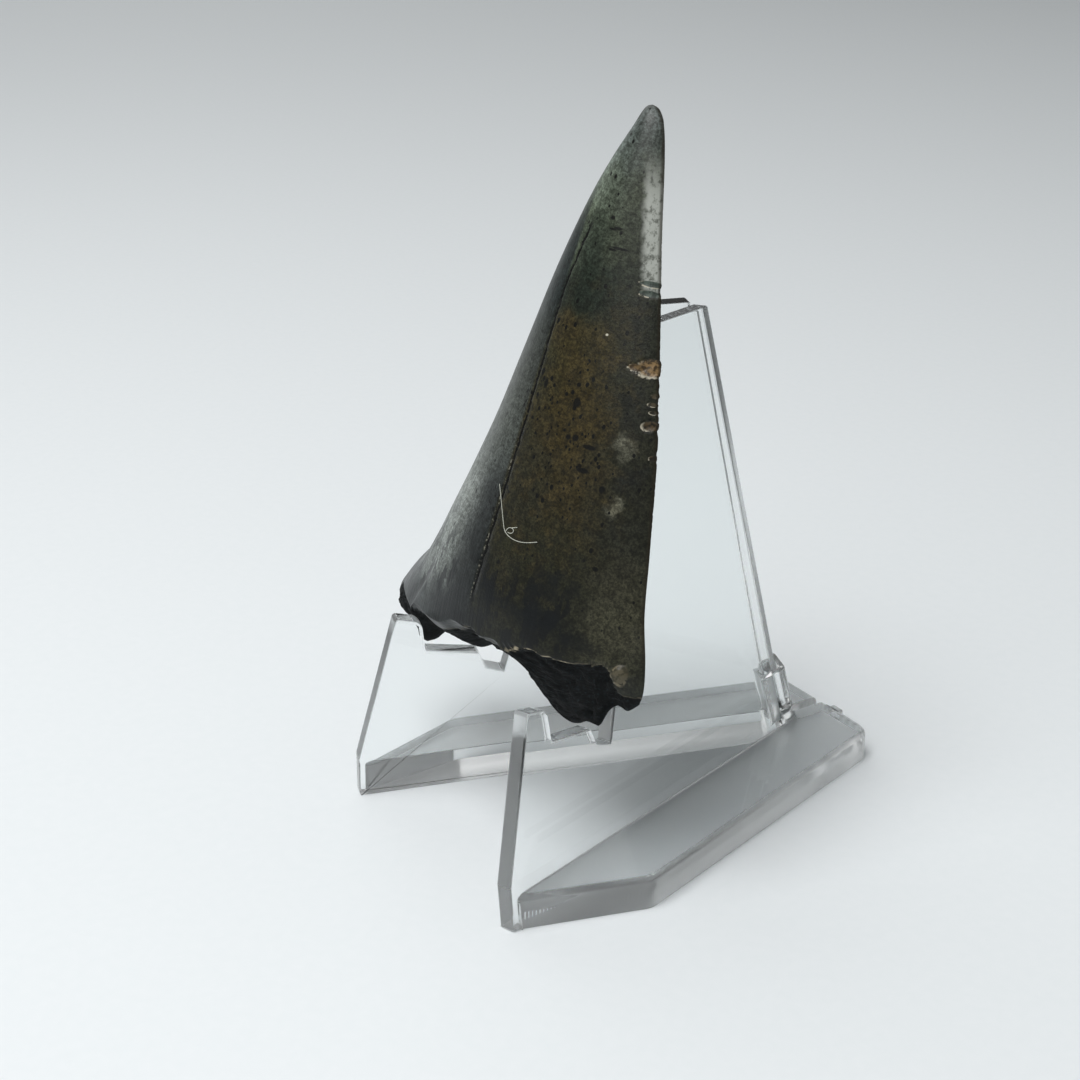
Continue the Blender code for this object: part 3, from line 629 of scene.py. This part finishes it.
    flap = patch(*FLAP, 0.2, 0.0)
    flap_inner = patch(FLAP[0] + 0.09, FLAP[1] + 0.14, FLAP[2] * 0.9, FLAP[3] * 0.9, 0.2, 0.0)
    flap_outline = math_node(tree, "MULTIPLY", flap, rim_breaks)
    colour = mix_colour(tree, math_node(tree, "MULTIPLY", flap_outline, 0.6), colour, "#a3977c")
    colour = mix_colour(tree, math_node(tree, "MULTIPLY", flap_inner, 0.8), colour, "#3b382b")
    lip = math_node(tree, "MULTIPLY", between(tree, root, 0.0, 0.2), between(tree, root, 0.7, 0.35))
    lip_zone = math_node(tree, "MAXIMUM", math_node(tree, "MULTIPLY", between(tree, w, 2.2, 3.4), between(
        tree, w, 9.0, 8.2)), math_node(tree, "MULTIPLY", between(tree, w, -9.0, -7.0), 0.15))
    lip = math_node(tree, "MULTIPLY", math_node(tree, "MULTIPLY", lip, lip_zone), between(
        tree, cloud(0.6, 3.0, shift=21.0), 0.38, 0.52))
    colour = mix_colour(tree, lip, colour, "#b0a58c")

    pores = between(tree, cloud(0.26, 5.0, shift=31.0, roughness=0.75), 0.54, 0.66)
    root_colour = mix_colour(tree, math_node(tree, "MULTIPLY", pores, 0.45), "#030607", "#2c3a41")
    colour = mix_colour(tree, between(tree, root, 0.45, 0.75), colour, root_colour)
    tree.links.new(colour, shader.inputs["Base Color"])

    rough = math_node(tree, "ADD", 0.24, math_node(tree, "MULTIPLY", cloud(1.2, 5.0, shift=41.0), 0.22))
    rough = math_node(tree, "ADD", rough, math_node(tree, "MULTIPLY", root, 0.45), clamp=True)
    tree.links.new(rough, shader.inputs["Roughness"])
    shader.inputs["IOR"].default_value = 1.58
    shader.inputs["Specular IOR Level"].default_value = 0.22

    fine = math_node(tree, "MULTIPLY", cloud(0.20, 5.0, shift=51.0, roughness=0.75), root)
    streaks = math_node(tree, "MULTIPLY", cloud(0.30, 2.0, (1.0, 0.05, 1.0), 61.0), 0.10)
    tooth_grain = math_node(tree, "MULTIPLY", cloud(0.16, 3.0, shift=71.0), 0.07)
    torn = math_node(tree, "MULTIPLY", math_node(tree, "MULTIPLY", cloud(0.5, 4.0, (0.3, 1.0, 1.0), 81.0), root), 1.4)
    relief = math_node(tree, "ADD", math_node(tree, "ADD", fine, streaks), math_node(tree, "ADD", tooth_grain, torn))
    bump = add(tree, "ShaderNodeBump", values={"Strength": 0.7, "Distance": 0.3 * MM}, links={"Height": relief})
    tree.links.new(bump.outputs["Normal"], shader.inputs["Normal"])
    return made


tooth.data.materials.clear()
tooth.data.materials.append(fossil_enamel())
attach(tooth, "easel_left")
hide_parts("tooth")
print("tooth finished")

# %% [markdown]
# ## A caught fibre
# A stray thread of lint lies on the crown beside the crack, as on any tooth wiped with a cloth. It could
# be painted, but a thread stands off the surface, so it is a thin curve laid on the finished mesh.

# %% Lint thread
THREAD_RADIUS = 0.035 * MM
THREADS = [[(-2.3, 17.4), (-1.4, 16.2), (-0.5, 14.8), (0.0, 14.0), (1.0, 13.7), (2.3, 13.8), (3.4, 14.3)],
           [(0.1, 14.0), (0.2, 14.45), (0.7, 14.6), (1.0, 14.4), (0.7, 14.05), (0.35, 14.1)],
           [(0.7, 14.6), (1.2, 14.8)]]
TOOTH_PLACE = Matrix.Translation(TOOTH_SEAT) @ Matrix.Rotation(-TOOTH_LEAN, 4, "X")


def on_crown(w, h):
    """A point just above the crown's inner face at a place across and a height."""
    start = TOOTH_PLACE @ (Vector((w, -25.0, h)) * MM)
    way = TOOTH_PLACE.to_3x3() @ Vector((0.0, 1.0, 0.0))
    hit, place, normal, face = tooth.ray_cast(start, way)
    return place + normal * THREAD_RADIUS


thread_curve = bpy.data.curves.new("lint_thread", "CURVE")
thread_curve.dimensions = "3D"
thread_curve.bevel_depth = THREAD_RADIUS
thread_curve.bevel_resolution = 1
thread_curve.use_fill_caps = True
for route in THREADS:
    spline = thread_curve.splines.new("NURBS")
    spline.points.add(len(route) - 1)
    for point, (w, h) in zip(spline.points, route):
        point.co = (*on_crown(w, h), 1.0)
    spline.use_endpoint_u = True
    spline.order_u = 3
    spline.use_cyclic_u = False
thread = bpy.data.objects.new("lint_thread", thread_curve)
bpy.context.scene.collection.objects.link(thread)
select_only(thread)
bpy.ops.object.convert(target="MESH")
thread = bpy.context.object


def cotton_lint():
    """Cotton lint: a matt, off-white fibre, a little uneven along its length."""
    made, tree, shader = new_material("matt_cotton_lint")
    place = add(tree, "ShaderNodeTexCoord")
    uneven = add(tree, "ShaderNodeTexNoise", values={"Scale": 2500.0, "Detail": 2.0},
                 links={"Vector": place.outputs["Object"]})
    tree.links.new(mix_colour(tree, uneven.outputs["Fac"], "#8f9186", "#c2c3b8"), shader.inputs["Base Color"])
    shader.inputs["Roughness"].default_value = 0.8
    return made


thread.data.materials.clear()
thread.data.materials.append(cotton_lint())
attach(thread, "easel_left")
print("thread has", len(thread.data.polygons), "faces")

# %% [markdown]
# ## The easel leaves
# Each leaf is one moulding of clear acrylic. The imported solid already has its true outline, so a
# copy is taken, its loose triangles are merged and flattened back into whole faces, and every sharp
# edge gets the small round that a mould leaves. Those rounds catch the light and draw the easel.

# %% Clear moulded leaves
EDGE_ROUND = 0.2 * MM
FOOT_TOP = 3.0 * MM
HINGE_REACH = 3.2 * MM
RIB_PITCH_MM = 0.26


def clear_acrylic(name, roughness, wave_strength, ribbed=False):
    """Acrylic, injection moulded: fully clear, IOR 1.49, almost no tint. The feet have milled ribs."""
    made, tree, shader = new_material(name)
    place = add(tree, "ShaderNodeTexCoord")
    waves = add(tree, "ShaderNodeTexNoise", values={"Scale": 110.0, "Detail": 2.0},
                links={"Vector": place.outputs["Object"]})
    height = waves.outputs["Fac"]
    if ribbed:
        along = add(tree, "ShaderNodeAttribute", {"attribute_name": "along_foot_mm"}).outputs["Fac"]
        ribs = math_node(tree, "SINE", math_node(tree, "MULTIPLY", along, 2.0 * math.pi / RIB_PITCH_MM))
        up = add(tree, "ShaderNodeSeparateXYZ", links={"Vector": place.outputs["Object"]}).outputs["Z"]
        low = between(tree, up, 1.7 * MM, 1.5 * MM)
        height = math_node(tree, "ADD", height, math_node(tree, "MULTIPLY", ribs, math_node(tree, "MULTIPLY", low, 0.3)))
    bump = add(tree, "ShaderNodeBump", values={"Strength": wave_strength, "Distance": 0.1 * MM},
               links={"Height": height})
    tree.links.new(bump.outputs["Normal"], shader.inputs["Normal"])
    shader.inputs["Base Color"].default_value = linear("#fbfdfd")
    shader.inputs["Roughness"].default_value = roughness
    shader.inputs["IOR"].default_value = 1.49
    shader.inputs["Transmission Weight"].default_value = 1.0
    return made


def mark_round_edges(leaf):
    """Marks the sharp edges for the rounding, all but those that stand on the floor."""
    weights = leaf.data.attributes.new("bevel_weight_edge", "FLOAT", "EDGE")
    shape = bmesh.new()
    shape.from_mesh(leaf.data)
    for number, edge in enumerate(shape.edges):
        sharp = edge.calc_face_angle(0.0) > math.radians(35.0)
        on_floor = max(vertex.co.z for vertex in edge.verts) < 0.1 * MM
        weights.data[number].value = float(sharp and not on_floor)
    shape.free()


def keep_creases(leaf):
    """Marks the blunt creases between broad faces as sharp, so that both faces stay flat to the eye."""
    shape = bmesh.new()
    shape.from_mesh(leaf.data)
    for edge in shape.edges:
        creased = len(edge.link_faces) == 2 and edge.calc_face_angle() > math.radians(4.0)
        if creased and edge.calc_length() > 0.0:
            narrower = min(face.calc_area() for face in edge.link_faces) / edge.calc_length()
            if narrower > 0.5 * MM:
                edge.smooth = False
    shape.to_mesh(leaf.data)
    shape.free()


def clear_leaf(name, node, body, side):
    """A moulded leaf made from the merged solid, with its edges rounded and its narrow walls satin."""
    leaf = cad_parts[node].copy()
    leaf.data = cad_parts[node].data.copy()
    leaf.name = name
    bpy.context.scene.collection.objects.link(leaf)
    leaf.parent = None
    leaf.matrix_world = Matrix.Identity(4)
    select_only(leaf)
    bpy.ops.object.mode_set(mode="EDIT")
    bpy.ops.mesh.select_all(action="SELECT")
    bpy.ops.mesh.remove_doubles(threshold=0.002 * MM)
    bpy.ops.mesh.dissolve_limited(angle_limit=math.radians(1.0))
    bpy.ops.object.mode_set(mode="OBJECT")
    mark_round_edges(leaf)
    rounds = leaf.modifiers.new("mould_rounds", "BEVEL")
    rounds.width = EDGE_ROUND
    rounds.segments = 3
    rounds.limit_method = "WEIGHT"
    rounds.use_clamp_overlap = False
    bpy.ops.object.modifier_apply(modifier="mould_rounds")
    for vertex in leaf.data.vertices:
        vertex.co.z = max(vertex.co.z, 0.0)
    bpy.ops.object.shade_smooth_by_angle(angle=math.radians(40.0))
    keep_creases(leaf)
    flats = leaf.modifiers.new("flat_faces_stay_flat", "WEIGHTED_NORMAL")
    flats.weight = 100
    flats.keep_sharp = True
    bpy.ops.object.modifier_apply(modifier="flat_faces_stay_flat")
    leaf.data.materials.clear()
    for finish in (polished_acrylic, satin_acrylic, ribbed_acrylic if side > 0 else moulded_acrylic,
                   frosted_acrylic):
        leaf.data.materials.append(finish)
    along_foot = Vector((side * math.sin(FLOOR_ANGLE), -math.cos(FLOOR_ANGLE), 0.0))
    rib_places = leaf.data.attributes.new("along_foot_mm", "FLOAT", "POINT")
    for number, vertex in enumerate(leaf.data.vertices):
        rib_places.data[number].value = vertex.co.dot(along_foot) / MM
    lean_in = Vector((side * math.cos(FLOOR_ANGLE), math.sin(FLOOR_ANGLE), 0.29)).normalized()
    outward = Vector((side * math.cos(FLOOR_ANGLE), math.sin(FLOOR_ANGLE), 0.0))
    for face in leaf.data.polygons:
        from_hinge = (face.center - HINGE_ON_FLOOR).to_2d().length
        if face.normal.z < -0.95 and face.center.z < 0.1 * MM:
            face.material_index = 3
        elif face.center.z < FOOT_TOP and face.normal.dot(outward) > 0.9:
            face.material_index = 2
        elif abs(face.normal.z) > 0.95 or abs(face.normal.dot(lean_in)) > 0.9 or from_hinge < HINGE_REACH:
            face.material_index = 0
        elif face.center.z < FOOT_TOP:
            face.material_index = 2
        else:
            face.material_index = 1
    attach(leaf, body)
    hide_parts(node)
    print(name, "has", len(leaf.data.polygons), "faces")
    return leaf


FLOOR_ANGLE = math.radians(16.6)
polished_acrylic = clear_acrylic("polished_clear_acrylic", 0.02, 0.05)
satin_acrylic = clear_acrylic("satin_clear_acrylic", 0.35, 0.25)
moulded_acrylic = clear_acrylic("moulded_clear_acrylic", 0.12, 0.25)
frosted_acrylic = clear_acrylic("frosted_clear_acrylic", 0.40, 0.25)
ribbed_acrylic = clear_acrylic("ribbed_clear_acrylic", 0.12, 0.6, ribbed=True)
clear_leaf("clear_leaf_left", "stand_left", "easel_left", -1)
clear_leaf("clear_leaf_right", "stand_right", "easel_right", 1)
